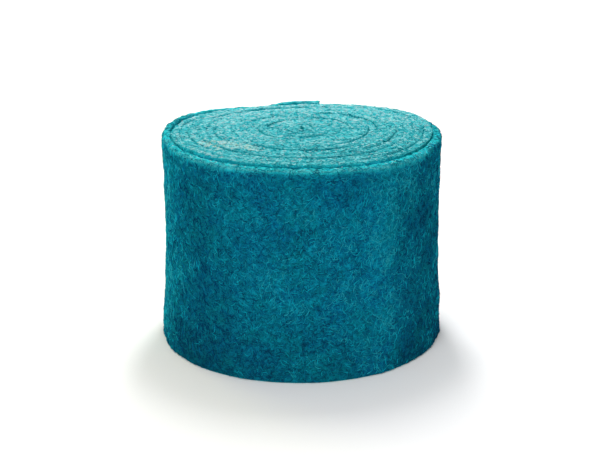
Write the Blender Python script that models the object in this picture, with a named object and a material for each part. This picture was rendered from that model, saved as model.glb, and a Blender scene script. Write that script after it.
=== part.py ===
"""A roll of thick wool felt, standing on its end.

One strip of felt is wound clockwise, seen from above, from a small folded core to an outer end
that lies against the roll at the back.  The roll is one closed solid: its top carries the spiral
of the turns, its wall steps out by one thickness where the strip ends, and its foot is flat.

Units are metres, +Z is up, and the origin is the middle of the foot.  The front of the roll
faces -Y.
"""

import math

import bmesh
import bpy
from mathutils import Vector

NAME = "felt_roll"

# The strip
STRIP_WIDTH = 0.150
FELT = 0.0059

# The winding, along the middle of the felt
TURNS = 15.5
CORE_RADIUS = 0.0022
END_RADIUS = 0.1005
END_ANGLE = math.radians(83)
CORE_OFFSET = Vector((-0.002, 0.007))

# The core is squeezed to an oval that evens out over the first turns
CORE_SQUEEZE = 0.30
SQUEEZE_TURNS = 2.0

# The outer end stands a little off the roll and a little higher than its turn
END_LIFT_ARC = math.radians(27)
END_LEVEL_ARC = math.radians(10)
END_LIFT_OUT = 0.0012
END_LIFT_UP = 0.0026

# The top: the outer turn has slipped down, less so on the left, and the middle has crept up
OUTER_DROP = 0.0024
DROP_TURNS = 0.30
OUTER_RISE = 0.0032
RISE_ANGLE = math.radians(155)
RISE_ARC = math.radians(50)
DOME = 0.0020
GROOVE_DEPTH = 0.0014
CORE_DEPTH = 0.0050
SHOULDER = 0.30
CORE_WALL = 0.0005

# Unevenness of a hand-wound roll, each row as lobes, depth, angle of the first lobe
PLAN_WAVES = (
    (2, 0.0010, math.radians(58)),
    (3, 0.0021, math.radians(26)),
    (4, 0.0008, math.radians(40)),
)
HEIGHT_WAVES = (
    (1, 0.0004, math.radians(20)),
    (2, 0.0011, math.radians(28)),
)
# The same along the strip, each row as waves in a turn, depth, start
STRIP_WAVES = (
    (0.73, 0.00045, 1.0),
    (1.61, 0.00030, 2.4),
)

# The wall: it stands out at the rim, draws in between, and spreads at the foot by its own weight
RIM_ROUND = 0.0030
RIM_STEPS = 3
RIM_SPREAD = 0.0012
RIM_SPREAD_DEPTH = 0.030
WAIST = 0.0005
FOOT_SPREAD = 0.0030
FOOT_SPREAD_HEIGHT = 0.070
FOOT_ROUND = 0.0015
WALL_ROWS = 8

STEPS_PER_TURN = 48
LAST_STEP = round(TURNS * STEPS_PER_TURN)
WALL_START = LAST_STEP - STEPS_PER_TURN


def clear_scene():
    for item in list(bpy.data.objects):
        bpy.data.objects.remove(item, do_unlink=True)


def smooth(value):
    value = min(max(value, 0.0), 1.0)
    return value * value * (3.0 - 2.0 * value)


def waves(rows, angle):
    return sum(depth * math.cos(lobes * (angle - first)) for lobes, depth, first in rows)


def turn_of(step):
    """Turns of the strip from its inner end to this step."""
    return step / STEPS_PER_TURN


def angle_of(step):
    """Direction from the core, seen from above: it runs clockwise to the outer end."""
    return END_ANGLE + 2.0 * math.pi * (TURNS - turn_of(step))


def end_lift(step):
    """How far the strip has lifted: 0 on the roll, 1 over the last stretch before its outer end."""
    before_end = 2.0 * math.pi * (TURNS - turn_of(step))
    return smooth((END_LIFT_ARC - before_end) / (END_LIFT_ARC - END_LEVEL_ARC))


def outward(step, distance):
    """Point of the plan at a distance from the middle of the felt, outward."""
    turn = turn_of(step)
    share = turn / TURNS
    angle = angle_of(step)
    radius = CORE_RADIUS + (END_RADIUS - CORE_RADIUS) * share + END_LIFT_OUT * end_lift(step)
    radius += waves(PLAN_WAVES, angle) * share * share + distance
    squeeze = CORE_SQUEEZE * math.exp(-turn / SQUEEZE_TURNS)
    centre = CORE_OFFSET * (1.0 - share)
    return Vector((
        centre.x + radius * math.cos(angle) * (1.0 - squeeze),
        centre.y + radius * math.sin(angle) * (1.0 + squeeze),
    ))


def crest_height(step):
    """Height of the strip's upper edge."""
    turn = turn_of(step)
    share = turn / TURNS
    height = STRIP_WIDTH + DOME * (1.0 - share * share)
    height += waves(HEIGHT_WAVES, angle_of(step)) * share
    height += sum(depth * math.sin(pace * 2.0 * math.pi * turn + start)
                  for pace, depth, start in STRIP_WAVES)
    from_rise = math.remainder(angle_of(step) - RISE_ANGLE, 2.0 * math.pi)
    drop = OUTER_DROP - OUTER_RISE * smooth(1.0 - abs(from_rise) / RISE_ARC)
    height -= drop * smooth((turn - (TURNS - 1.0 - DROP_TURNS)) / DROP_TURNS)
    return height + END_LIFT_UP * end_lift(step)


def add(mesh, plan, height):
    return mesh.verts.new((plan.x, plan.y, height))


def groove_points(mesh):
    """The line where each turn meets the one inside it, and inside the first turn the core's wall."""
    points = []
    for step in range(LAST_STEP + 1):
        if step < STEPS_PER_TURN:
            turn = turn_of(step)
            middle = CORE_RADIUS + (END_RADIUS - CORE_RADIUS) * turn / TURNS
            plan = outward(step, -min(FELT / 2, middle - CORE_WALL))
        else:
            plan = (outward(step, 0.0) + outward(step - STEPS_PER_TURN, 0.0)) / 2
        lower = min(crest_height(step), crest_height(max(step - STEPS_PER_TURN, 0)))
        points.append(add(mesh, plan, lower - GROOVE_DEPTH))
    return points


def shoulder_points(mesh, side):
    """The inner (side -1) or outer (side 1) border of the flat on each turn's upper edge."""
    points = []
    for step in range(LAST_STEP + 1):
        middle = turn_of(step) * (END_RADIUS - CORE_RADIUS) / TURNS + CORE_RADIUS
        reach = min(SHOULDER * FELT, (middle - CORE_WALL) / 2) if side < 0 else SHOULDER * FELT
        points.append(add(mesh, outward(step, side * reach), crest_height(step)))
    return points


def wall_profile(step):
    """Distance outward and height of the wall's points at a step, from the rim to the foot."""
    top = crest_height(step) - RIM_ROUND
    wall = []
    for row in range(WALL_ROWS + 1):
        height = top + (FOOT_ROUND - top) * row / WALL_ROWS
        spread = RIM_SPREAD * smooth(1.0 - (top - height) / RIM_SPREAD_DEPTH) - WAIST
        spread += FOOT_SPREAD * smooth(1.0 - height / FOOT_SPREAD_HEIGHT)
        wall.append((FELT / 2 + spread, height))
    start = SHOULDER * FELT
    rim = []
    for row in range(1, RIM_STEPS):
        turned = math.pi / 2 * row / RIM_STEPS
        rim.append((start + (wall[0][0] - start) * math.sin(turned),
                    top + RIM_ROUND * math.cos(turned)))
    return rim + wall + [(wall[-1][0] - FOOT_ROUND, 0.0)]


def wall_columns(mesh, grooves):
    """One column of points for each step of the outer turn; the first shares the last groove point."""
    columns = []
    for step in range(WALL_START, LAST_STEP + 1):
        profile = wall_profile(step)
        column = [add(mesh, outward(step, distance), height) for distance, height in profile]
        if step == WALL_START:
            mesh.verts.remove(column[0])
            column[0] = grooves[LAST_STEP]
        columns.append(column)
    return columns


def build_roll():
    """The closed surface of the roll: the spiral top, the core, the wall, the end of the strip, the foot."""
    mesh = bmesh.new()
    grooves = groove_points(mesh)
    inner = shoulder_points(mesh, -1)
    outer = shoulder_points(mesh, 1)
    columns = wall_columns(mesh, grooves)

    def beyond(step):
        """The point that closes a turn on its outside."""
        if step <= WALL_START:
            return grooves[step + STEPS_PER_TURN]
        return columns[step - WALL_START][0]

    for step in range(LAST_STEP):
        here = (grooves[step], inner[step], outer[step], beyond(step))
        ahead = (grooves[step + 1], inner[step + 1], outer[step + 1], beyond(step + 1))
        for low, high in zip(range(3), range(1, 4)):
            mesh.faces.new((here[low], ahead[low], ahead[high], here[high]))

    core = add(mesh, CORE_OFFSET, crest_height(0) - CORE_DEPTH)
    rim = grooves[:STEPS_PER_TURN + 1] + [outer[0], inner[0]]
    for first, second in zip(rim, rim[1:] + rim[:1]):
        mesh.faces.new((core, second, first))

    for here, ahead in zip(columns, columns[1:]):
        for row in range(len(here) - 1):
            mesh.faces.new((here[row], ahead[row], ahead[row + 1], here[row + 1]))

    under, end = columns[0], columns[-1]
    mesh.faces.new((under[0], inner[LAST_STEP], outer[LAST_STEP], end[0]))
    for row in range(len(end) - 1):
        mesh.faces.new((under[row], end[row], end[row + 1], under[row + 1]))

    mesh.faces.new([column[-1] for column in columns])

    bmesh.ops.recalc_face_normals(mesh, faces=mesh.faces)
    data = bpy.data.meshes.new(NAME)
    mesh.to_mesh(data)
    mesh.free()
    data.shade_smooth()
    data.set_sharp_from_angle(angle=math.radians(50))
    return data


def felt_material():
    material = bpy.data.materials.new("teal_felt")
    material.use_nodes = True
    surface = material.node_tree.nodes["Principled BSDF"]
    surface.inputs["Base Color"].default_value = (0.010, 0.190, 0.250, 1.0)
    surface.inputs["Roughness"].default_value = 0.95
    surface.inputs["Metallic"].default_value = 0.0
    return material


def main():
    clear_scene()
    collection = bpy.data.collections.new("roll_of_felt")
    bpy.context.scene.collection.children.link(collection)
    roll = bpy.data.objects.new(NAME, build_roll())
    roll.data.materials.append(felt_material())
    collection.objects.link(roll)


main()
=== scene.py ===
"""Looks of the roll of felt: one wound strip of thick wool felt, and the loose fibres on its faces.

The strip is wound by the same formulas as the solid, in metres, but as the real thing: a strip with
two faces and cut edges, whose turns touch, part a little here and there, and part most at the left.
"""

import math
from collections import namedtuple

import bpy
import numpy as np
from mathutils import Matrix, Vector
from mathutils.bvhtree import BVHTree


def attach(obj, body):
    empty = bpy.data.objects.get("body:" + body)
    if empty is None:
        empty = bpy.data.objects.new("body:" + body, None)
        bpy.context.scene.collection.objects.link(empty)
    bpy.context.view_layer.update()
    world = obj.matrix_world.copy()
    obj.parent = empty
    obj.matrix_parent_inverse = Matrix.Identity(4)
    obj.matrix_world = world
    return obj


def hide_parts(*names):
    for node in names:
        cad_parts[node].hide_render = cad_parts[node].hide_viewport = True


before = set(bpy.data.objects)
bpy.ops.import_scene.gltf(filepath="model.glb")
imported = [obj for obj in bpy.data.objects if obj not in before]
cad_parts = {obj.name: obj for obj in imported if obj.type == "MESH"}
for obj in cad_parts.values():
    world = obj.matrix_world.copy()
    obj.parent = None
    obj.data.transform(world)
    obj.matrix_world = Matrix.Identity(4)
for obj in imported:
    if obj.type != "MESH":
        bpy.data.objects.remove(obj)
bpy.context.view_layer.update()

FULL_CIRCLE = 2.0 * math.pi

# The strip
STRIP_WIDTH = 0.150
STRIP_LENGTH = 5.0
FELT = 0.0059

# The winding, along the middle of the felt
TURNS = 15.5
LAST_START = TURNS - 1.0
CORE_RADIUS = 0.0022
END_RADIUS = 0.1005
END_ANGLE = math.radians(83)
CORE_OFFSET = (-0.002, 0.007)
CORE_SQUEEZE = 0.30
SQUEEZE_TURNS = 2.0
CORE_WALL = 0.0005

# The outer end stands a little off the roll and a little higher than its turn
END_LIFT_ARC = math.radians(27)
END_LEVEL_ARC = math.radians(10)
END_LIFT_OUT = 0.0012
END_LIFT_UP = 0.0026

# The top: the outer turn has slipped down, less so on the left, and the middle has crept up
OUTER_DROP = 0.0024
DROP_TURNS = 0.30
OUTER_RISE = 0.0032
RISE_ANGLE = math.radians(155)
RISE_ARC = math.radians(50)
DOME = 0.0020

# At the front the outer turns stand a little higher, less so those further in
FRONT_ANGLE = math.radians(-90)
FRONT_ARC = math.radians(62)
FRONT_RISE = 0.0013
FRONT_TURNS = 4.0
FRONT_FADE_TURNS = 2.0

# Unevenness of a hand-wound roll, each row as lobes, depth, angle of the first lobe
PLAN_WAVES = (
    (2, 0.0010, math.radians(58)),
    (3, 0.0021, math.radians(26)),
    (4, 0.0008, math.radians(40)),
)
HEIGHT_WAVES = (
    (1, 0.0004, math.radians(20)),
    (2, 0.0011, math.radians(28)),
)
# The same along the strip, each row as waves in a turn, depth, start
STRIP_WAVES = (
    (0.73, 0.00045, 1.0),
    (1.61, 0.00030, 2.4),
)

# The wall: it stands out at the rim, draws in between, and spreads at the foot by its own weight
RIM_SPREAD = 0.0012
RIM_SPREAD_DEPTH = 0.030
WAIST = 0.0005
FOOT_SPREAD = 0.0030
FOOT_SPREAD_HEIGHT = 0.070
LEANING_TURNS = 3.0
LEAN_FADE_TURNS = 2.0

# Where neighbouring turns part or one stands above the other, each row as seam counted from outside,
# middle angle and half arc in degrees, gap, how much rounder the edges beside it are, and how far the
# turn outside it is lower
OPEN_SEAM_ROWS = (
    (1, -76, 52, 0.0008, 0.0003, -0.0003),
    (1, -138, 24, 0.0005, 0.0003, -0.0003),
    (1, -168, 30, 0.0, 0.0, -0.0010),
    (1, -6, 44, 0.0, 0.0, -0.0010),
    (1, 156, 34, 0.0014, 0.0020, 0.0),
    (2, -122, 34, 0.0003, 0.0003, 0.0004),
    (2, -40, 30, 0.0003, 0.0003, 0.0003),
    (3, -52, 28, 0.0002, 0.0002, 0.0002),
    (4, 112, 30, 0.0004, 0.0003, -0.0004),
    (4, -60, 30, 0.0002, 0.0003, 0.0002),
    (5, -100, 16, 0.0003, 0.0002, 0.0003),
    (10, 80, 36, 0.0004, 0.0004, -0.0004),
    (12, -82, 60, 0.0004, 0.0004, 0.0004),
    (14, -70, 60, 0.0003, 0.0003, 0.0),
)
OpenSeam = namedtuple("OpenSeam", "number angle arc gap rounder lower")
OPEN_SEAMS = [OpenSeam(number, math.radians(angle), math.radians(arc), *sizes)
              for number, angle, arc, *sizes in OPEN_SEAM_ROWS]

# The gap between turns that touch. It varies along the strip, and so do the gaps of the open seams:
# by a share of the gap, with bumps that are so many turns long
TOUCH_GAP = 0.00004
TOUCH_UNEVENNESS = 0.5
TOUCH_BUMP_TURNS = 0.09
GAP_UNEVENNESS = 0.45
GAP_BUMP_TURNS = 0.012

# The seams wander a little, but not those of the first turns
SEAM_WANDER = 0.00022
WANDER_BUMP_TURNS = 0.010
STRAIGHT_TURNS = 2.0

# How round the edges are, the most of half the felt that the inner and outer rounding take up, and the
# part of a turn over which the rim's rounding begins
EDGE_ROUND = 0.00038
SHOULDER_ROUND = 0.0023
RIM_ROUND = 0.0028
FOOT_ROUND = 0.0010
INNER_ROUND_MOST = 0.8
OUTER_ROUND_MOST = 0.95
RIM_BEGIN_TURNS = 0.04

# The shoulder of the turn inside the last one shows where the seam between them is open: how steeply
# that begins, how many turns before the end, and over what part of a turn
BARE_FACTOR = 1.5
BARE_TURNS = 2.1
BARE_FADE_TURNS = 0.1

# The strip's section: how far the flat of its foot reaches as a share of half the felt, the number of
# rows at the foot, the places of the rows in a rounded corner, the number of rows on the upper edge, and
# the rows on the faces, each with its depth below the upper edge and how much of the cut shows there
FOOT_FLAT = 0.6
FOOT_ROWS = 2
EDGE_CORNER = (0.0, 0.5, 1.0)
RIM_CORNER = (0.0, 0.14, 0.29, 0.44, 0.60, 0.80, 1.0)
EDGE_FLAT_ROWS = 8
FACE_ROWS = ((0.0025, 0.55), (0.020, 0.0))
FIRST_SEEN = FOOT_ROWS + len(FACE_ROWS) - 1
FIRST_CORNER = FOOT_ROWS + len(FACE_ROWS) + len(EDGE_CORNER) + EDGE_FLAT_ROWS

# How pale the wool of the cut edges and the faces just below them shows, partly the paler cut wool and
# partly painted sheen of the light from above and behind: it fades over a corner, and at the rim between
# two depths
EDGE_FADE = 0.25
RIM_FADE = (0.0006, 0.0038)
RIM_PALENESS = 0.84
# The rim's paleness reaches further down on both sides of the front, each row as angle, half arc, share,
# and the height down to which the wall is painted lighter, as painted light on the rounded rim. Then how
# much deeper the paleness begins and ends to fade there, how much lighter the painted light makes the wall,
# and over what height it becomes so
DEEP_RIM = (
    (math.radians(-46), math.radians(28), 1.0, 0.1405),
    (math.radians(-130), math.radians(24), 0.5, 0.1430),
)
DEEP_RIM_FADE = (0.0014, 0.0013)
DEEP_RIM_PAINTED_LIGHT = 1.6
DEEP_RIM_RISE = 0.004

# Unevenness of the felt's surface, each row as depth, length of a bump, seed: of the upper edge, from
# a height up, and of the outer face
EDGE_LUMPS = (
    (0.00011, 0.0026, 20),
    (0.00017, 0.0055, 21),
    (0.00020, 0.013, 22),
)
FACE_LUMPS = (
    (0.00025, 0.008, 31),
    (0.00040, 0.028, 32),
)
EDGE_LUMPS_FOOT = 0.141
EDGE_LUMPS_RISE = 0.004

# The layers of wool that show as ridges along the upper edge
LAYER_WIDTH = 0.0026
LAYER_LENGTH = 0.030
LAYER_DEPTH = 0.00014

# Where the wall is painted lighter or darker, as painted light and shade, each row as angle, half arc, how
# much, and the height at which that begins to fade towards the rim
WALL_PAINTED_LIGHT = (
    (math.radians(-132), math.radians(25), -0.66, 0.160),
    (math.radians(-168), math.radians(22), 0.85, 0.160),
    (math.radians(-76), math.radians(14), 0.30, 0.118),
    (math.radians(-58), math.radians(15), 0.95, 0.118),
    (math.radians(-30), math.radians(24), -0.30, 0.160),
)
WALL_PAINTED_LIGHT_FADE = 0.024
# Painted shade at the foot: how dark, and up to what height it reaches
FOOT_PAINTED_SHADE = -0.75
FOOT_PAINTED_SHADE_HEIGHT = 0.065

# Steps of the mesh, how many samples measure the strip's length, and how far before the last turn
# the sections with a wall begin
STEP = 0.00165
WALL_STEP = 0.0026
LENGTH_SAMPLES = 20001
LAP_TURNS = 0.02

# The camera of the photograph
PICTURE = (600, 471)
FOCAL_PX = 1600
SENSOR_WIDTH = 36.0
CAMERA_DISTANCE = 1.1107
CAMERA_HEIGHT = 0.4204
CAMERA_PITCH = math.radians(17.37)
CAMERA_TURN = math.radians(0.1265)


# Numbers

# How many waves make a ripple, the range of their lengths as shares of the bumps' length, and the
# ripple's size for waves of 1
RIPPLE_WAVES = 28
RIPPLE_LENGTHS = (0.7, 1.6)
RIPPLE_SIZE = 0.6


def smooth(value):
    value = np.clip(value, 0.0, 1.0)
    return value * value * (3.0 - 2.0 * value)


def waves(rows, angle):
    return sum(depth * np.cos(lobes * (angle - first)) for lobes, depth, first in rows)


def near_angle(angle, middle, arc):
    """1 at a middle angle, and 0 beyond its half arc."""
    return smooth(1.0 - np.abs(np.mod(angle - middle + math.pi, FULL_CIRCLE) - math.pi) / arc)


def ripple(places, length, seed):
    """Smooth unevenness of about -1 to 1 at places (n, d), with bumps about a length apart."""
    random = np.random.default_rng(seed)
    total = np.zeros(len(places))
    for _ in range(RIPPLE_WAVES):
        heading = random.normal(size=places.shape[1])
        heading *= FULL_CIRCLE / (length * random.uniform(*RIPPLE_LENGTHS)) / np.linalg.norm(heading)
        total += np.sin(places @ heading + random.uniform(0.0, FULL_CIRCLE))
    return total / math.sqrt(RIPPLE_WAVES / 2.0) * RIPPLE_SIZE


def ripples(places, rows):
    """The sum of several ripples, each row as depth, length of a bump, seed."""
    return sum(depth * ripple(places, length, seed) for depth, length, seed in rows)


def unit(vectors):
    return vectors / np.maximum(np.linalg.norm(vectors, axis=-1, keepdims=True), 1e-9)


# The winding

def angle_of(turn):
    return END_ANGLE + FULL_CIRCLE * (TURNS - turn)


def end_lift(turn):
    before_end = FULL_CIRCLE * (TURNS - turn)
    return smooth((END_LIFT_ARC - before_end) / (END_LIFT_ARC - END_LEVEL_ARC))


def radius_of(turn):
    share = turn / TURNS
    radius = CORE_RADIUS + (END_RADIUS - CORE_RADIUS) * share + END_LIFT_OUT * end_lift(turn)
    return radius + waves(PLAN_WAVES, angle_of(turn)) * share * share


def across_felt(turn):
    """Plan vectors (n, 2) from a turn's middle outward, for one metre of radius."""
    angle = angle_of(turn)
    squeeze = CORE_SQUEEZE * np.exp(-turn / SQUEEZE_TURNS)
    return np.stack([np.cos(angle) * (1.0 - squeeze), np.sin(angle) * (1.0 + squeeze)], axis=-1)


def outward(turn, distance):
    """Plan points (n, 2) at a distance from the middle of the felt."""
    centre = np.multiply.outer(1.0 - turn / TURNS, CORE_OFFSET)
    return centre + across_felt(turn) * (radius_of(turn) + distance)[:, None]


def pitch_after(turn):
    """Radius from the middle of a turn to the middle of the next one out."""
    across = across_felt(turn)
    step = outward(turn + 1.0, np.zeros_like(turn)) - outward(turn, np.zeros_like(turn))
    return (step * across).sum(-1) / (across * across).sum(-1)


def near_seam(seam, turn):
    """1 on the turn outside an open seam at the seam's middle, and 0 beyond its arc."""
    middle = TURNS - (seam.angle - END_ANGLE) / FULL_CIRCLE % 1.0 - (seam.number - 1)
    return smooth(1.0 - np.abs(turn - middle) / (seam.arc / FULL_CIRCLE))


def crest_height(turn):
    """Height of the strip's upper edge."""
    share = turn / TURNS
    angle = angle_of(turn)
    height = STRIP_WIDTH + DOME * (1.0 - share * share) + waves(HEIGHT_WAVES, angle) * share
    for pace, depth, start in STRIP_WAVES:
        height = height + depth * np.sin(pace * FULL_CIRCLE * turn + start)
    drop = OUTER_DROP - OUTER_RISE * near_angle(angle, RISE_ANGLE, RISE_ARC)
    height = height - drop * smooth((turn - (LAST_START - DROP_TURNS)) / DROP_TURNS)
    risen = smooth((turn - (TURNS - FRONT_TURNS)) / FRONT_FADE_TURNS)
    risen = near_angle(angle, FRONT_ANGLE, FRONT_ARC) * risen
    height = height + FRONT_RISE * risen
    for seam in OPEN_SEAMS:
        height = height + seam.lower / 2.0 * (near_seam(seam, turn + 1.0) - near_seam(seam, turn))
    return height + END_LIFT_UP * end_lift(turn)


def opening(turn):
    """Gap between a turn and the one inside it, and the rounding of the edges beside it."""
    gap = TOUCH_GAP * (1.0 + TOUCH_UNEVENNESS * ripple(turn[:, None], TOUCH_BUMP_TURNS, seed=5))
    uneven = 1.0 + GAP_UNEVENNESS * ripple(turn[:, None], GAP_BUMP_TURNS, seed=6)
    rounding = np.full_like(gap, EDGE_ROUND)
    for seam in OPEN_SEAMS:
        gap = gap + seam.gap * near_seam(seam, turn) * uneven
        rounding = rounding + seam.rounder * near_seam(seam, turn)
    return gap, rounding


def bare_shoulder(turn):
    """1 where the last turn has parted from the one inside it, whose outer shoulder then shows."""
    parted = [near_seam(seam, turn + 1.0) for seam in OPEN_SEAMS if seam.number == 1 and seam.gap > 0.0]
    beside_last = smooth((turn - (TURNS - BARE_TURNS)) / BARE_FADE_TURNS)
    return np.clip(BARE_FACTOR * sum(parted), 0.0, 1.0) * beside_last


def wander(turn):
    """How far the seam inside a turn lies out of the middle between its two turns."""
    uneven = SEAM_WANDER * ripple(turn[:, None], WANDER_BUMP_TURNS, seed=7)
    return uneven * smooth((turn - STRAIGHT_TURNS) / STRAIGHT_TURNS)


def half_widths(turn):
    """Distance from the middle of the felt to its inner and outer face, and the rounding of both edges."""
    (inside_gap, inside_round), (outside_gap, outside_round) = opening(turn), opening(turn + 1.0)
    inside = (pitch_after(np.maximum(turn - 1.0, 0.0)) - inside_gap) / 2.0 - wander(turn)
    inside = np.where(turn >= 1.0, inside, np.minimum(inside, radius_of(turn) - CORE_WALL))
    outside = (pitch_after(turn) - outside_gap) / 2.0 + wander(turn + 1.0)
    outside = np.where(turn <= LAST_START, outside, FELT / 2.0)
    return inside, outside, inside_round, outside_round


def wall_spread(turn, height, top):
    """How far the strip stands out at a height: only the outer turns lean."""
    spread = RIM_SPREAD * smooth(1.0 - (top - height) / RIM_SPREAD_DEPTH) - WAIST
    spread = spread + FOOT_SPREAD * smooth(1.0 - height / FOOT_SPREAD_HEIGHT)
    return spread * smooth((turn - (TURNS - LEANING_TURNS)) / LEAN_FADE_TURNS)


# The paleness and the painted light and shade that the strip's mesh carries

def rim_fade(turn, depth):
    """How much of the rim's paleness is lost at a depth below its crest."""
    deeper = sum(share * near_angle(angle_of(turn), middle, arc) for middle, arc, share, _ in DEEP_RIM)
    start, end = (level + more * deeper for level, more in zip(RIM_FADE, DEEP_RIM_FADE))
    return smooth((depth - start) / (end - start))


def painted_wall_light(places):
    """How much lighter or darker the wall is painted at places (n, 3), as painted light and shade, as a
    share of its range of shades.
    """
    angle = np.arctan2(places[:, 1], places[:, 0])
    shade = FOOT_PAINTED_SHADE * smooth(1.0 - places[:, 2] / FOOT_PAINTED_SHADE_HEIGHT)
    for middle, arc, share, height in WALL_PAINTED_LIGHT:
        below = 1.0 - smooth((places[:, 2] - height) / WALL_PAINTED_LIGHT_FADE)
        shade = shade + share * near_angle(angle, middle, arc) * below
    for middle, arc, share, foot in DEEP_RIM:
        near_rim = smooth((places[:, 2] - foot) / DEEP_RIM_RISE)
        shade = shade + DEEP_RIM_PAINTED_LIGHT * share * near_angle(angle, middle, arc) * near_rim
    return shade


# The strip's mesh

def strip_turns():
    """Turn values STEP apart along the strip, and the distance of each from its inner end."""
    dense = np.linspace(0.0, TURNS, LENGTH_SAMPLES)
    points = outward(dense, np.zeros_like(dense))
    run = np.concatenate([[0.0], np.cumsum(np.linalg.norm(np.diff(points, axis=0), axis=1))])
    distances = np.linspace(0.0, run[-1], round(run[-1] / STEP) + 1)
    return np.interp(distances, run, dense), distances


def edge_rounding(turn, inside, outside, inside_round, outside_round):
    """The rounding of the inner and outer edge, with the rim's and that of a bare shoulder."""
    outside_round = outside_round + SHOULDER_ROUND * bare_shoulder(turn)
    last = smooth((turn - LAST_START) / RIM_BEGIN_TURNS)
    outside_round = outside_round + (RIM_ROUND - outside_round) * last
    return (np.minimum(inside_round, inside * INNER_ROUND_MOST),
            np.minimum(outside_round, outside * OUTER_ROUND_MOST))


def section(turn, corner, wall_rows):
    """The strip's outline at each turn value: up its inner face, over the cut edge and down its outer one.

    Gives points (sections, rows, 3), how far each lies outward from the middle of the felt, and how
    much it shows the cut: 1 on a cut edge, 0 on a face.
    """
    top = crest_height(turn)
    inside, outside, inside_round, outside_round = half_widths(turn)
    inside_round, outside_round = edge_rounding(turn, inside, outside, inside_round, outside_round)
    bare = bare_shoulder(turn)
    rows, reaches, cut = [], [], []

    def put(distance, height, on_cut):
        spread = wall_spread(turn, height, top)
        rows.append(np.concatenate([outward(turn, distance + spread), height[:, None]], axis=1))
        reaches.append(distance)
        cut.append(on_cut + np.zeros_like(turn))

    def put_corner(side, half, rounding, share, on_cut):
        turned = share * math.pi / 2
        reach = half - rounding * (1.0 - math.sin(turned))
        put(side * reach, top - rounding * (1.0 - math.cos(turned)), on_cut)

    foot = np.zeros_like(turn)
    pale = RIM_PALENESS if wall_rows else 1.0
    put(-inside * FOOT_FLAT, foot, 1.0)
    put(-inside, foot + FOOT_ROUND, 0.0)
    for depth, on_cut in FACE_ROWS[::-1]:
        put(-inside, top - depth, on_cut)
    for share in EDGE_CORNER[::-1]:
        put_corner(-1.0, inside, inside_round, share, pale * (1.0 - EDGE_FADE * share))
    for number in range(1, EDGE_FLAT_ROWS + 1):
        share = number / (EDGE_FLAT_ROWS + 1)
        put((outside - outside_round) * share - (inside - inside_round) * (1.0 - share), top, pale)
    for share in corner:
        faded = rim_fade(turn, RIM_ROUND * (1.0 - math.cos(share * math.pi / 2)))
        if not wall_rows:
            faded = share * (EDGE_FADE + (1.0 - EDGE_FADE) * bare)
        put_corner(1.0, outside, outside_round, share, pale * (1.0 - faded))
    if wall_rows:
        for share in np.arange(1, wall_rows + 1) / (wall_rows + 1):
            height = (top - outside_round) * (1.0 - share) + FOOT_ROUND * share
            put(outside, height, pale * (1.0 - rim_fade(turn, top - height)))
    else:
        for depth, on_cut in FACE_ROWS:
            put(outside, top - depth, on_cut * (1.0 - bare))
    put(outside, foot + FOOT_ROUND, 0.0)
    put(outside * FOOT_FLAT, foot, 1.0)
    return np.stack(rows, axis=1), np.stack(reaches, axis=1), np.stack(cut, axis=1)


def roughen(points, reaches, distances, first_wall_row):
    """Gives a stretch of the strip its relief: on its upper edge, and on the rows that form its outer face.

    The upper edge has lumps, and ridges that run along the strip, where the wool was laid in layers.
    """
    lumps = ripples(points.reshape(-1, 3), EDGE_LUMPS)
    along = np.broadcast_to(distances[:, None], reaches.shape) * LAYER_WIDTH / LAYER_LENGTH
    layers = np.stack([along.ravel(), reaches.ravel()], axis=1)
    lumps += LAYER_DEPTH * ripple(layers, LAYER_WIDTH, seed=23)
    upper = smooth((points[:, :, 2] - EDGE_LUMPS_FOOT) / EDGE_LUMPS_RISE)
    points[:, :, 2] += lumps.reshape(upper.shape) * upper
    if first_wall_row:
        skin = points[:, first_wall_row:-1]
        push = ripples(skin.reshape(-1, 3), FACE_LUMPS)
        skin[:, :, :2] += unit(skin[:, :, :2]) * push.reshape(skin.shape[:2])[:, :, None]


def new_piece(name, points, faces, materials):
    data = bpy.data.meshes.new(name)
    data.from_pydata(np.asarray(points, float).tolist(), [], faces)
    for material in materials:
        data.materials.append(material)
    data.shade_smooth()
    piece = bpy.data.objects.new(name, data)
    bpy.context.scene.collection.objects.link(piece)
    return piece


# Kinds of faces
HIDDEN, TOP, WALL, END = range(4)

# The layout of the map named OFBake, of a square with sides of 1: the outer face in two bands, the upper
# edge as it is seen from above, the cut end, and all that is hidden in a corner
BAKE_SCALE = 2.2
BAND_LENGTH = 0.44
BAND_RISE = 0.335
TOP_MIDDLE = (0.771, 0.576)
END_MIDDLE = 0.497
HIDDEN_PLACE = (0.0, 0.70)
HIDDEN_SCALE = (0.10, 0.90)


def bridge(here, ahead, pairs):
    """Faces between two sections. The pairs say which rows of one face which of the other."""
    faces = []
    for (low, low_ahead), (high, high_ahead) in zip(pairs, pairs[1:]):
        faces.append(here[low:high + 1][::-1] + ahead[low_ahead:high_ahead + 1])
    return faces


def meeting_rows(inner_rows, outer_rows):
    """Pairs of rows where a section without a wall meets one that has it."""
    per_corner = (len(RIM_CORNER) - 1) // (len(EDGE_CORNER) - 1)
    pairs = [(row, row) for row in range(FIRST_CORNER + 1)]
    pairs += [(FIRST_CORNER + row, FIRST_CORNER + row * per_corner) for row in range(1, len(EDGE_CORNER))]
    return pairs + [(inner_rows + row, outer_rows + row) for row in (-2, -1, 0)]


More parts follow.
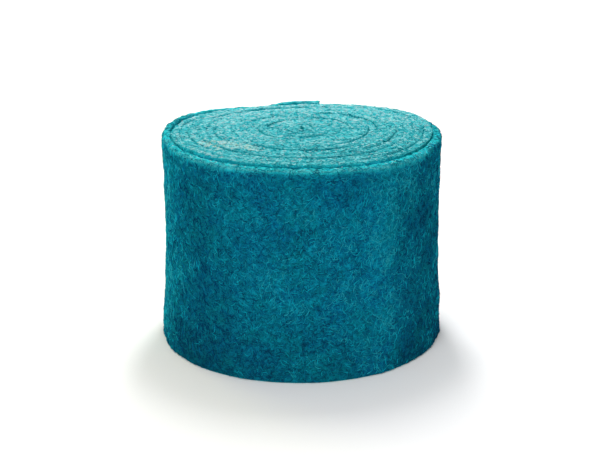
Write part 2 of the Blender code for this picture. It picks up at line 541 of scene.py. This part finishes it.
def strip_faces(inner_shape, outer_shape, runs):
    """Faces of the strip, the kind of each, and how far along the last turn each starts."""
    (inner_count, inner_rows, _), (outer_count, outer_rows, _) = inner_shape, outer_shape
    inner_end = inner_count * inner_rows
    outer_end = inner_end + outer_count * outer_rows
    rows = [list(range(first, first + inner_rows)) for first in range(0, inner_end, inner_rows)]
    rows += [list(range(first, first + outer_rows)) for first in range(inner_end, outer_end, outer_rows)]

    faces, kinds, starts = [], [], []
    for here, ahead, run in zip(rows, rows[1:], runs):
        pairs = [(row, row) for row in range(len(here) + 1)]
        top_end = wall_end = FIRST_CORNER + len(EDGE_CORNER)
        if len(here) != len(ahead):
            pairs = meeting_rows(inner_rows, outer_rows)
            top_end = wall_end = FIRST_CORNER + len(EDGE_CORNER) - 1
        elif len(here) == outer_rows:
            top_end = FIRST_CORNER + len(RIM_CORNER) - 1
            wall_end = outer_rows - 1
        faces += bridge(here + here[:1], ahead + ahead[:1], pairs)
        kinds += [HIDDEN] * FIRST_SEEN + [TOP] * (top_end - FIRST_SEEN) + [WALL] * (wall_end - top_end)
        kinds += [HIDDEN] * (len(pairs) - 1 - wall_end)
        starts += [run] * (len(pairs) - 1)
    faces += [rows[0], rows[-1][::-1]]
    return faces, kinds + [HIDDEN, END], starts + [0.0, 0.0]


def bake_places(kinds, starts, points, along, around, reach):
    """Places in the bake layout for face corners: their face's kind and start, and where they are."""
    layouts = {
        HIDDEN: (HIDDEN_PLACE[0] + (along + STRIP_LENGTH) * HIDDEN_SCALE[0],
                 HIDDEN_PLACE[1] + around * HIDDEN_SCALE[1]),
        TOP: (TOP_MIDDLE[0] + points[:, 0] * BAKE_SCALE, TOP_MIDDLE[1] + points[:, 1] * BAKE_SCALE),
        WALL: ((along - (starts > BAND_LENGTH) * BAND_LENGTH) * BAKE_SCALE,
               points[:, 2] * BAKE_SCALE + (starts > BAND_LENGTH) * BAND_RISE),
        END: (END_MIDDLE + reach * BAKE_SCALE, BAND_RISE + points[:, 2] * BAKE_SCALE),
    }
    places = np.empty((len(kinds), 2))
    for kind, (across, up) in layouts.items():
        places[kinds == kind, 0] = across[kinds == kind]
        places[kinds == kind, 1] = up[kinds == kind]
    return places


def run_across(points):
    """Distance of each row of a section from its first, along the outline."""
    steps = np.linalg.norm(np.diff(points, axis=1), axis=2)
    return np.concatenate([np.zeros((len(points), 1)), np.cumsum(steps, axis=1)], axis=1)


def joined(inner, outer):
    return np.concatenate([inner.ravel(), outer.ravel()])


def felt_strip(material):
    """The whole strip as one closed mesh, and the part of it that can be seen, for the fibres to lie on."""
    turns, distances = strip_turns()
    join = int(np.searchsorted(turns, LAST_START - LAP_TURNS))
    inner, inner_reach, inner_cut = section(turns[:join], EDGE_CORNER, 0)
    outer, outer_reach, outer_cut = section(turns[join:], RIM_CORNER, round(STRIP_WIDTH / WALL_STEP))
    roughen(inner, inner_reach, distances[:join], None)
    roughen(outer, outer_reach, distances[join:], FIRST_CORNER)

    points = joined(inner, outer).reshape(-1, 3)
    faces, kinds, starts = strip_faces(inner.shape, outer.shape, distances - distances[join])
    piece = new_piece("felt_strip", points, faces, [material])

    along = np.concatenate([np.repeat(distances[:join], inner.shape[1]),
                            np.repeat(distances[join:], outer.shape[1])])
    around = joined(run_across(inner), run_across(outer))
    reach = joined(inner_reach, outer_reach)
    corners = np.empty(len(piece.data.loops), int)
    piece.data.loops.foreach_get("vertex_index", corners)
    sizes = [len(face) for face in faces]
    bake_map = bake_places(np.repeat(kinds, sizes), np.repeat(starts, sizes), points[corners],
                           along[corners] - distances[join], around[corners], reach[corners])
    strip_map = np.stack([along, around], axis=1)[corners]
    for name, places in (("strip", strip_map), ("OFBake", bake_map)):
        layer = piece.data.uv_layers.new(name=name)
        layer.uv.foreach_set("vector", places.astype(np.float32).ravel())

    cut = joined(inner_cut, outer_cut)
    cut[-outer.shape[1]:] = 1.0
    for name, values in (("cut", cut), ("shade", painted_wall_light(points))):
        attribute = piece.data.attributes.new(name, "FLOAT", "POINT")
        attribute.data.foreach_set("value", values.astype(np.float32))
    seen = [face for face, kind in zip(faces, kinds) if kind != HIDDEN]
    return piece, BVHTree.FromPolygons([Vector(point) for point in points], seen)


# The fibres

# A strand: its width and its lift along it, as shares, its sides, and how far it stays off the floor
STRAND_TAPER = (0.0, 0.85, 1.0, 0.85, 0.0)
STRAND_ARCH = (-0.3, 0.8, 1.0, 0.9, -0.3)
STRAND_SIDES = 3
STRAND_CLEARANCE = 0.0006

# The share of the strands that end in the air, and how high, as shares of the middle's lift
LOOSE_SHARE = 0.18
LOOSE_TIP = (1.3, 1.6)

# The patches in which darker and lighter fibres gather, each row as size, seed
FIBRE_CLOUDS = ((0.011, 11), (0.035, 35))

# Where fibres start on the wall and on the upper edges, how far their headings spread where they lie
# along the strip, and the share that lies all ways
WALL_MARGIN = 0.001
CORE_SHARE = 0.0005
LYING_SPREAD = 0.4
TOP_FREE = 0.45
PATCH_FREE = 0.6
RIM_FREE = 0.2

# How much lighter or darker the fibres on the upper edges are: everywhere, at a seam, and towards the back,
# the front and the left, each with how far from the middle it is full. The darker fibres at a seam are
# painted shade in the seam, and the lighter back and darker front are painted sheen of the light from
# behind
TOP_TONE = 0.09
SEAM_PAINTED_SHADE = -0.22
BACK_PAINTED_SHEEN = 0.26
BACK_REACH = 0.09
FRONT_PAINTED_SHEEN = -0.06
LEFT_TONE = 0.07
SIDE_REACH = 0.07

# The pale patch at the left, and the duller stretches of the rim at both sides
PATCH_MIDDLE = (-0.0500, -0.0440)
PATCH_REACH = (0.0240, 0.0095)
PATCH_TURN = math.radians(-24)
DULL_RIM_MIDDLE = (0.097, 0.015)
DULL_RIM_REACH = 0.070
DULL_RIM_TONE = -0.32

# How many pieces there are on the wall and the upper edges, how many fibres a piece has, and the seeds
# of their places and of each kind's own unevenness
WALL_PIECES = 3
TOP_PIECES = 2
WALL_COUNT = 8500
TOP_COUNT = 7500
PATCH_COUNT = 420
RIM_COUNT = 2500
PLACES_SEED = 41
WALL_SEED = 50
TOP_SEED = 60
PATCH_SEED = 65
RIM_SEED = 70

# The looks of each kind of fibre. Of a size, the pair gives the least and the most
WALL_STRANDS = {"length": (0.0025, 0.0080), "width": (0.00028, 0.00056), "lift": (0.0001, 0.0005),
                "curl": 0.60, "clouds": 0.18}
TOP_STRANDS = {"length": (0.0022, 0.0060), "width": (0.00026, 0.00048), "lift": (0.0, 0.0004),
               "curl": 0.50, "clouds": 0.08, "side_tone": -0.9}
PATCH_STRANDS = {"length": (0.003, 0.007), "width": (0.00025, 0.00045), "lift": (0.0001, 0.0005),
                 "curl": 0.40, "clouds": 0.0}
RIM_STRANDS = {"length": (0.002, 0.006), "width": (0.00022, 0.00045), "lift": (0.0001, 0.0005),
               "curl": 0.45, "clouds": 0.05, "side_tone": -1.10}
# How much the painted light and shade of the wall move its fibres to lighter or darker shades
WALL_PAINTED_LIGHT_TONE = 0.35

# Their shades from dark to light, each row as name, colour, share of the fibres
FACE_FIBRES = (
    ("fibre_deep", (0.0005, 0.052, 0.125), 0.22),
    ("fibre_blue", (0.0009, 0.140, 0.280), 0.26),
    ("fibre_teal", (0.0013, 0.190, 0.270), 0.25),
    ("fibre_light", (0.005, 0.420, 0.555), 0.24),
    ("fibre_pale", (0.020, 0.400, 0.500), 0.03),
)
# The pale and grey shades of the upper edges are partly painted sheen of the light from behind. With
# side_tone the fibres that lie down a side take darker shades, partly the darker faces and partly painted
# shade
EDGE_FIBRES = (
    ("edge_deep", (0.003, 0.160, 0.200), 0.18),
    ("edge_teal", (0.010, 0.380, 0.440), 0.28),
    ("edge_light", (0.078, 0.600, 0.635), 0.28),
    ("edge_pale", (0.335, 0.730, 0.740), 0.20),
    ("edge_grey", (0.440, 0.640, 0.660), 0.06),
)
CREAM = (0.560, 0.650, 0.500)
RIM_LIGHT = (0.032, 0.720, 0.765)
# The shares of edge_pale, edge_grey and cream in the patch, and those of edge_deep, edge_teal, rim_light
# and edge_pale on the rim
PATCH_SHARES = (0.25, 0.33, 0.42)
RIM_SHARES = (0.08, 0.19, 0.61, 0.12)


def creep(surface, starts, headings, step, curls):
    """Paths (n, points, 3) that creep over the surface, with the surface's normals under them."""
    paths, normals = [], []
    place, heading = starts, headings
    for _ in STRAND_TAPER:
        found = [surface.find_nearest(Vector(point)) for point in place]
        under = np.array([hit[0] for hit in found])
        normal = np.array([hit[1] for hit in found])
        heading = unit(heading - normal * (heading * normal).sum(1, keepdims=True))
        turned = np.cos(curls)[:, None] * heading + np.sin(curls)[:, None] * np.cross(normal, heading)
        paths.append(under)
        normals.append(normal)
        place = under + turned * step[:, None]
        heading = turned
    return np.stack(paths, axis=1), np.stack(normals, axis=1)


def strand_rings(paths, normals, widths):
    """Points of thin tubes along the paths (n, points, 3), with a single one at both ends."""
    along = unit(np.gradient(paths, axis=1))
    side = unit(np.cross(along, normals))
    up = np.cross(side, along)
    rings = []
    for place, taper in enumerate(STRAND_TAPER):
        if taper == 0.0:
            rings.append(paths[:, place:place + 1])
            continue
        for number in range(STRAND_SIDES):
            turned = math.pi / 2 + FULL_CIRCLE * number / STRAND_SIDES
            reach = (widths * taper / 2.0)[:, None]
            point = side[:, place] * math.cos(turned) + up[:, place] * math.sin(turned)
            rings.append((paths[:, place] + point * reach)[:, None])
    return np.concatenate(rings, axis=1)


def strand_faces(count, per_strand):
    """Faces of the closed tubes of a number of strands, and the strand that each belongs to."""
    around = [(number, (number + 1) % STRAND_SIDES) for number in range(STRAND_SIDES)]
    last_ring = per_strand - 1 - STRAND_SIDES
    threes = [[0, 1 + first, 1 + second] for first, second in around]
    threes += [[last_ring + second, last_ring + first, per_strand - 1] for first, second in around]
    fours = []
    for low in range(1, last_ring, STRAND_SIDES):
        high = low + STRAND_SIDES
        fours += [[low + first, high + first, high + second, low + second] for first, second in around]
    starts = np.arange(count)[:, None, None] * per_strand
    three_faces = (starts + np.array(threes)[None]).reshape(-1, 3).tolist()
    four_faces = (starts + np.array(fours)[None]).reshape(-1, 4).tolist()
    owners = [np.repeat(np.arange(count), len(faces)) for faces in (threes, fours)]
    return three_faces + four_faces, np.concatenate(owners)


def fibres(name, surface, starts, headings, seed, materials, shares, length, width, lift, curl, clouds,
           tones=0.0, side_tone=0.0):
    """A piece of loose fibres that start at the given places. The pairs give the least and most of a size.

    The materials go from dark to light, each with its share of the fibres. Clouds says how much the
    darker and the lighter ones gather in patches, tones moves each fibre to a lighter or darker one, and
    side_tone does so for those that lie on a side and not on top.
    """
    random = np.random.default_rng(seed)
    count = len(starts)
    step = random.uniform(*length, count) / (len(STRAND_TAPER) - 1)
    paths, normals = creep(surface, starts, headings, step, random.normal(0.0, curl, count))
    raised = random.uniform(*lift, count)[:, None] * np.array(STRAND_ARCH)
    loose = random.uniform(size=count) < LOOSE_SHARE
    raised[loose, -2:] = raised[loose, 2:3] * np.array(LOOSE_TIP)
    paths = paths + normals * raised[:, :, None]
    paths[:, :, 2] = np.maximum(paths[:, :, 2], STRAND_CLEARANCE)
    points = strand_rings(paths, normals, random.uniform(*width, count))
    faces, owners = strand_faces(count, points.shape[1])
    piece = new_piece(name, points.reshape(-1, 3), faces, materials)
    toned = random.uniform(size=count) + tones + side_tone * (1.0 - normals[:, :, 2].mean(axis=1))
    for size, cloud_seed in FIBRE_CLOUDS:
        toned += clouds * ripple(starts, size, cloud_seed)
    shade = np.clip(np.searchsorted(np.cumsum(shares)[:-1], toned), 0, len(materials) - 1)
    piece.data.polygons.foreach_set("material_index", shade[owners].astype(np.int32))
    return piece


def wall_starts(count, random):
    """Places and headings on the wall, at random all ways."""
    turn = random.uniform(LAST_START, TURNS, count)
    height = random.uniform(WALL_MARGIN, STRIP_WIDTH - WALL_MARGIN, count)
    places = np.concatenate([outward(turn, np.full(count, FELT / 2.0)), height[:, None]], axis=1)
    angle = angle_of(turn)
    round_way = np.stack([-np.sin(angle), np.cos(angle), np.zeros(count)], axis=1)
    tilt = random.uniform(0.0, FULL_CIRCLE, count)
    headings = round_way * np.cos(tilt)[:, None] + np.array([0.0, 0.0, 1.0]) * np.sin(tilt)[:, None]
    return places, headings


def lying(count, random, angle, free):
    """Level headings: near to an angle or its opposite, or all ways for the share that is free."""
    heading = angle + random.normal(0.0, LYING_SPREAD, count) + math.pi * random.integers(0, 2, count)
    any_way = random.uniform(size=count) < free
    heading = np.where(any_way, random.uniform(0.0, FULL_CIRCLE, count), heading)
    return np.stack([np.cos(heading), np.sin(heading), np.zeros(count)], axis=1)


def top_starts(count, random):
    """Places, headings and tones on the upper edges inside the outer turn."""
    turn = LAST_START * np.sqrt(random.uniform(CORE_SHARE, 1.0, count))
    inside, outside, _, _ = half_widths(turn)
    share = random.uniform(0.0, 1.0, count)
    places = outward(turn, outside * share - inside * (1.0 - share))
    places = np.concatenate([places, crest_height(turn)[:, None]], axis=1)
    tones = TOP_TONE + SEAM_PAINTED_SHADE * np.abs(2.0 * share - 1.0) ** 3
    back, front = smooth(places[:, 1] / BACK_REACH), smooth(-places[:, 1] / SIDE_REACH)
    tones += BACK_PAINTED_SHEEN * back + FRONT_PAINTED_SHEEN * front
    tones += LEFT_TONE * smooth(-places[:, 0] / SIDE_REACH)
    return places, lying(count, random, angle_of(turn) + math.pi / 2, TOP_FREE), tones


def patch_starts(count, random):
    """Places and headings in the pale patch on the upper edges, at the left."""
    turned = random.uniform(0.0, FULL_CIRCLE, count)
    far = np.sqrt(random.uniform(0.0, 1.0, count))
    along, across = PATCH_REACH[0] * far * np.cos(turned), PATCH_REACH[1] * far * np.sin(turned)
    places = np.stack([PATCH_MIDDLE[0] + along * math.cos(PATCH_TURN) - across * math.sin(PATCH_TURN),
                       PATCH_MIDDLE[1] + along * math.sin(PATCH_TURN) + across * math.cos(PATCH_TURN),
                       np.full(count, STRIP_WIDTH)], axis=1)
    return places, lying(count, random, np.full(count, PATCH_TURN), PATCH_FREE)


def rim_starts(count, random):
    """Places, headings and tones on the upper edge and the rounded rim of the outer turn."""
    turn = random.uniform(LAST_START, TURNS, count)
    places = outward(turn, random.uniform(-FELT / 2.0, FELT / 2.0, count))
    places = np.concatenate([places, crest_height(turn)[:, None]], axis=1)
    from_dull = np.hypot(np.abs(places[:, 0]) - DULL_RIM_MIDDLE[0], places[:, 1] - DULL_RIM_MIDDLE[1])
    tones = DULL_RIM_TONE * smooth(1.0 - from_dull / DULL_RIM_REACH)
    return places, lying(count, random, angle_of(turn) + math.pi / 2, RIM_FREE), tones


def fibre_shades(rows):
    """Materials of loose fibres, and the share of each."""
    return [fibre_material(name, colour) for name, colour, _ in rows], [share for _, _, share in rows]


def loose_fibres(skin):
    """All the pieces of loose fibres: on the wall, on the upper edges, in the pale patch and on the rim."""
    face_shades, face_shares = fibre_shades(FACE_FIBRES)
    edge_shades, edge_shares = fibre_shades(EDGE_FIBRES)
    cream = fibre_material("fibre_cream", CREAM)
    rim_light = fibre_material("rim_light", RIM_LIGHT)
    random = np.random.default_rng(PLACES_SEED)
    loose = []
    for number in range(WALL_PIECES):
        places, headings = wall_starts(WALL_COUNT, random)
        loose.append(fibres(f"wall_fibres_{number + 1}", skin, places, headings, WALL_SEED + number,
                            face_shades, face_shares, tones=WALL_PAINTED_LIGHT_TONE * painted_wall_light(places),
                            **WALL_STRANDS))
    for number in range(TOP_PIECES):
        places, headings, tones = top_starts(TOP_COUNT, random)
        loose.append(fibres(f"top_fibres_{number + 1}", skin, places, headings, TOP_SEED + number,
                            edge_shades, edge_shares, tones=tones, **TOP_STRANDS))
    places, headings = patch_starts(PATCH_COUNT, random)
    loose.append(fibres("patch_fibres", skin, places, headings, PATCH_SEED, edge_shades[3:] + [cream],
                        PATCH_SHARES, **PATCH_STRANDS))
    places, headings, tones = rim_starts(RIM_COUNT, random)
    rim_shades = edge_shades[:2] + [rim_light] + edge_shades[3:4]
    loose.append(fibres("rim_fibres", skin, places, headings, RIM_SEED, rim_shades, RIM_SHARES,
                        tones=tones, **RIM_STRANDS))
    return loose


# Materials

# How much the painted light and shade that the mesh carries change the brightness of the faces
SHADE_RANGE = 0.30

# Fields of noise, each as layer, scale, detail, and the values from which it rises and at which it is full
CLOUDS = (11, 42.0, 3.0, 0.35, 0.65)
PATCHES = (12, 190.0, 3.0, 0.38, 0.62)
PITS = (13, 700.0, 2.0, 0.52, 0.66)
LAYERS = (14, 330.0, 2.0, 0.44, 0.60)
LAYER_STEP = (3.7, 1.9, 5.3)

# Webs of fibres, each row as layer, scale, width of a line
WEB = ((1, 150.0, 0.035), (2, 190.0, 0.035), (3, 240.0, 0.040), (4, 330.0, 0.045))
STREAKS = ((7, 420.0, 0.06), (8, 640.0, 0.06))
WEB_DETAIL = 1.5
WEB_CURL = 0.35

# How much streaks and layers are drawn out along the strip
STREAK_STRETCH = (0.35, 1.0, 1.0)
LAYER_STRETCH = (0.08, 1.0, 1.0)

# Colours of the felt: of its clouds, and of each field in them, with how strong it is. The dark of the pits
# is painted shade in the holes between the fibres
FACE_CLOUDS = ((0.0008, 0.110, 0.235), (0.0011, 0.185, 0.245))
FACE_TINTS = {"patches": (0.60, (0.0005, 0.060, 0.135)), "pits": (0.60, (0.0004, 0.030, 0.065)),
              "web": (0.60, (0.004, 0.285, 0.410))}
EDGE_CLOUDS = ((0.014, 0.300, 0.360), (0.045, 0.400, 0.430))
EDGE_TINTS = {"layers": (0.45, (0.003, 0.170, 0.215)), "pits": (0.7, (0.001, 0.085, 0.120)),
              "streaks": (0.5, (0.14, 0.60, 0.63)), "web": (0.6, (0.18, 0.68, 0.71))}
RIM_CLOUDS = ((0.006, 0.270, 0.350), (0.009, 0.340, 0.390))
RIM_TINTS = {"web": (0.6, (0.022, 0.560, 0.640))}

# How much of the cut has to show for the rim's colour, and where the edge's takes over from it
RIM_FULL = 0.6

# The relief that the shader adds to the mesh's: its parts beside the web, its strength and depth
RELIEF = {"patches": 0.5, "pits": -0.8, "streaks": 0.3}
RELIEF_STRENGTH = 0.9
RELIEF_DEPTH = 0.0005

FELT_ROUGHNESS = 0.95
FELT_SHEEN = (0.06, (0.10, 0.85, 0.90))
FIBRE_ROUGHNESS = 0.9
FIBRE_SHEEN = (0.05, (0.2, 0.9, 0.95))
SHEEN_ROUGHNESS = 0.5


def value_node(tree, kind, inputs, output=0, **settings):
    """A shader node with its settings. An input is a plain value or another node's output."""
    node = tree.nodes.new(kind)
    for setting, value in settings.items():
        setattr(node, setting, value)
    for socket, value in inputs.items():
        if isinstance(value, bpy.types.NodeSocket):
            tree.links.new(value, node.inputs[socket])
        else:
            node.inputs[socket].default_value = value
    return node.outputs[output]


def maths(tree, operation, first, second=0.0, third=0.0):
    return value_node(tree, "ShaderNodeMath", {0: first, 1: second, 2: third}, operation=operation)


def mesh_value(tree, name):
    return value_node(tree, "ShaderNodeAttribute", {}, output=2, attribute_name=name)


def stretched(tree, places, factors):
    return value_node(tree, "ShaderNodeVectorMath", {0: places, 1: factors}, operation="MULTIPLY")


def noise(tree, places, layer, scale, detail, distortion=0.0):
    """Noise of 0 to 1; layers with other numbers have nothing to do with each other."""
    moved = value_node(tree, "ShaderNodeVectorMath",
                       {0: places, 1: tuple(layer * step for step in LAYER_STEP)}, operation="ADD")
    return value_node(tree, "ShaderNodeTexNoise",
                      {"Vector": moved, "Scale": scale, "Detail": detail, "Distortion": distortion})


def ramp(tree, value, start, end, low=0.0, high=1.0):
    """A smooth step from low to high as the value goes from start to end."""
    return value_node(tree, "ShaderNodeMapRange", {"Value": value, 1: start, 2: end, 3: low, 4: high},
                      interpolation_type="SMOOTHSTEP")


def blend(tree, factor, first, second):
    return value_node(tree, "ShaderNodeMix", {0: factor, 6: first, 7: second}, output=2, data_type="RGBA")


def field(tree, places, layer, scale, detail, start, end):
    """Noise as patches with soft edges: 0 outside them, 1 inside."""
    return ramp(tree, noise(tree, places, layer, scale, detail), start, end)


def fibre_web(tree, places, rows):
    """Curly lines in several layers of noise: 1 on a line, 0 off it."""
    web = None
    for layer, scale, width in rows:
        wool = noise(tree, places, layer, scale, WEB_DETAIL, WEB_CURL)
        off_line = maths(tree, "ABSOLUTE", maths(tree, "SUBTRACT", wool, 0.5))
        lines = ramp(tree, off_line, 0.0, width, 1.0, 0.0)
        web = lines if web is None else maths(tree, "MAXIMUM", web, lines)
    return web


def tinted(tree, fields, clouds, tints):
    """The two colours of the clouds, with a colour for each field laid over them in turn."""
    colour = blend(tree, fields["clouds"], *((*shade, 1.0) for shade in clouds))
    for name, (strength, shade) in tints.items():
        colour = blend(tree, maths(tree, "MULTIPLY", fields[name], strength), colour, (*shade, 1.0))
    return colour


def set_wool(surface, roughness, sheen):
    """Sets a shader to wool: no gloss, and a little tinted sheen."""
    weight, tint = sheen
    settings = {"Roughness": roughness, "Specular IOR Level": 0.0, "Sheen Weight": weight,
                "Sheen Roughness": SHEEN_ROUGHNESS, "Sheen Tint": (*tint, 1.0)}
    for socket, value in settings.items():
        surface.inputs[socket].default_value = value


def new_material(name):
    """A material, with its shader."""
    material = bpy.data.materials.new(name)
    material.use_nodes = True
    return material, material.node_tree.nodes["Principled BSDF"]


def felt_material():
    """Wool felt: a web of curly fibres over clouds of bluer and greener teal, paler on the cut edges,
    partly as painted sheen, and with the wall's painted light and shade.
    """
    material, surface = new_material("teal_felt")
    tree = material.node_tree
    places = value_node(tree, "ShaderNodeUVMap", {}, uv_map="strip")
    fields = {
        "clouds": field(tree, places, *CLOUDS),
        "patches": field(tree, places, *PATCHES),
        "pits": field(tree, places, *PITS),
        "layers": field(tree, stretched(tree, places, LAYER_STRETCH), *LAYERS),
        "web": fibre_web(tree, places, WEB),
        "streaks": fibre_web(tree, stretched(tree, places, STREAK_STRETCH), STREAKS),
    }
    # The painted light and shade of the wall make its faces lighter or darker
    shade = maths(tree, "MULTIPLY_ADD", mesh_value(tree, "shade"), SHADE_RANGE, third=1.0)
    face = tinted(tree, fields, FACE_CLOUDS, FACE_TINTS)
    face = value_node(tree, "ShaderNodeVectorMath", {0: face, "Scale": shade}, operation="SCALE")
    cut = mesh_value(tree, "cut")
    colour = blend(tree, ramp(tree, cut, 0.0, RIM_FULL), face, tinted(tree, fields, RIM_CLOUDS, RIM_TINTS))
    edge = tinted(tree, fields, EDGE_CLOUDS, EDGE_TINTS)
    tree.links.new(blend(tree, ramp(tree, cut, RIM_FULL, 1.0), colour, edge), surface.inputs["Base Color"])

    height = fields["web"]
    for name, share in RELIEF.items():
        height = maths(tree, "ADD", height, maths(tree, "MULTIPLY", fields[name], share))
    bump = value_node(tree, "ShaderNodeBump",
                      {"Height": height, "Strength": RELIEF_STRENGTH, "Distance": RELIEF_DEPTH})
    tree.links.new(bump, surface.inputs["Normal"])
    set_wool(surface, FELT_ROUGHNESS, FELT_SHEEN)
    return material


def fibre_material(name, colour):
    material, surface = new_material(name)
    surface.inputs["Base Color"].default_value = (*colour, 1.0)
    set_wool(surface, FIBRE_ROUGHNESS, FIBRE_SHEEN)
    return material


# Stage

# The lights, each row as name, place, target, sizes, power, colour, spread
WHITE = (1.0, 1.0, 1.0)
LIGHTS = (
    ("overhead", (0.0, 0.30, 0.70), (0.0, 0.02, 0.12), (0.12, 0.40), 3.8, WHITE, math.pi),
    ("front_fill", (-0.35, -1.25, 0.95), (0.0, 0.0, 0.12), (1.0, 0.5), 10.5, WHITE, math.pi),
    ("left_rim", (-1.0, 1.05, 0.20), (-0.1, 0.0, 0.08), (0.6, 0.3), 13.0, (1.0, 1.0, 0.32), math.pi),
    ("background", (0.0, 1.8, 1.4), (0.0, 1.9, 0.0), (3.0, 1.0), 60.0, WHITE, math.radians(80)),
)

# The light from all round: how far to the sides it begins to weaken and is weakest, and its strengths
SKY_SIDES = (0.20, 0.90)
SKY_STRENGTHS = (0.86, 0.14)

FLOOR_REACH = 6.0
FLOOR_WHITE = 0.9
FLOOR_ROUGHNESS = 0.9


def area_light(name, place, target, sizes, power, colour, spread):
    data = bpy.data.lights.new(name, "AREA")
    data.color = colour
    data.spread = spread
    data.shape = "RECTANGLE"
    data.size, data.size_y = sizes
    data.energy = power
    light = bpy.data.objects.new(name, data)
    light.location = place
    light.rotation_euler = (Vector(target) - Vector(place)).to_track_quat("-Z", "Y").to_euler()
    bpy.context.scene.collection.objects.link(light)


def studio_world():
    """White light from all round, weaker from the sides."""
    world = bpy.data.worlds.new("studio")
    world.use_nodes = True
    tree = world.node_tree
    direction = value_node(tree, "ShaderNodeTexCoord", {})
    sideways = maths(tree, "ABSOLUTE", value_node(tree, "ShaderNodeSeparateXYZ", {0: direction}))
    background = tree.nodes["Background"]
    background.inputs["Color"].default_value = (*WHITE, 1.0)
    tree.links.new(ramp(tree, sideways, *SKY_SIDES, *SKY_STRENGTHS), background.inputs["Strength"])
    return world


def floor():
    corners = [(-FLOOR_REACH, -FLOOR_REACH, 0), (FLOOR_REACH, -FLOOR_REACH, 0),
               (FLOOR_REACH, FLOOR_REACH, 0), (-FLOOR_REACH, FLOOR_REACH, 0)]
    data = bpy.data.meshes.new("floor")
    data.from_pydata(corners, [], [(0, 1, 2, 3)])
    piece = bpy.data.objects.new("floor", data)
    bpy.context.scene.collection.objects.link(piece)
    paint, surface = new_material("floor_white")
    surface.inputs["Base Color"].default_value = (FLOOR_WHITE, FLOOR_WHITE, FLOOR_WHITE, 1.0)
    surface.inputs["Roughness"].default_value = FLOOR_ROUGHNESS
    surface.inputs["Specular IOR Level"].default_value = 0.0
    data.materials.append(paint)


def light_stage():
    bpy.context.scene.world = studio_world()
    for row in LIGHTS:
        area_light(*row)
    bpy.context.scene.view_settings.view_transform = "Standard"


def camera():
    data = bpy.data.cameras.new("camera")
    data.sensor_width = SENSOR_WIDTH
    data.lens = FOCAL_PX / PICTURE[0] * data.sensor_width
    view = bpy.data.objects.new("camera", data)
    view.location = (0.0, -CAMERA_DISTANCE, CAMERA_HEIGHT)
    view.rotation_euler = (math.pi / 2 - CAMERA_PITCH, 0.0, CAMERA_TURN)
    bpy.context.scene.collection.objects.link(view)
    bpy.context.scene.camera = view


camera()
floor()
light_stage()

strip, skin = felt_strip(felt_material())
loose = loose_fibres(skin)

for piece in [strip] + loose:
    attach(piece, "root")
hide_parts("felt_roll")
